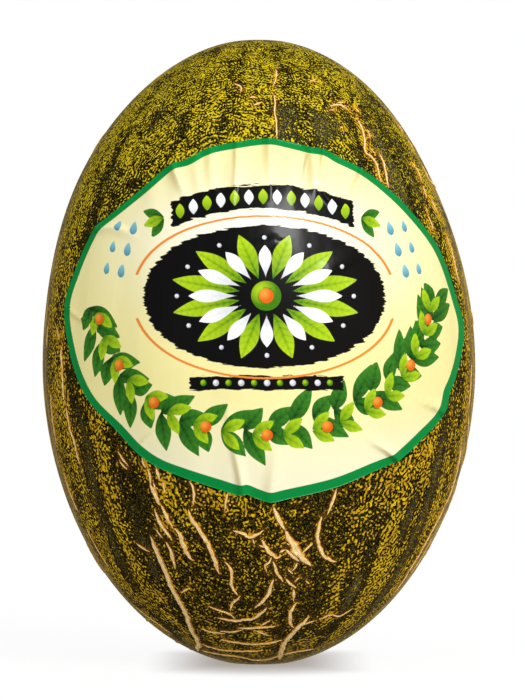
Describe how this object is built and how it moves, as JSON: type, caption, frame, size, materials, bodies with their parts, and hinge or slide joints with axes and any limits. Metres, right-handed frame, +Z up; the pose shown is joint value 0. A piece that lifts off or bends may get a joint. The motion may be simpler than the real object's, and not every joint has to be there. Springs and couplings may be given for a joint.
{
  "type": "piel de sapo melon",
  "caption": "Whole piel de sapo melon, an oval fruit with low furrows and raised cork cracks, standing on a small flat spot, with an oval film sticker round its front.",
  "frame": {"origin": "middle of the flat spot that the melon stands on", "axes": "+Z up along the melon, -Y towards the front, where the sticker is, +X to the right as seen from the front"},
  "size_m": [0.1658, 0.1669, 0.2383],
  "materials": {
    "rind": "waxy olive-black rind, flecked and banded in ochre yellow, with raised cream cork cracks",
    "sticker_film": "glossy cream printed film with a green border and stuck-down folds"
  },
  "bodies": {
    "root": {"melon": "rind", "label": "sticker_film"}
  },
  "joints": []
}
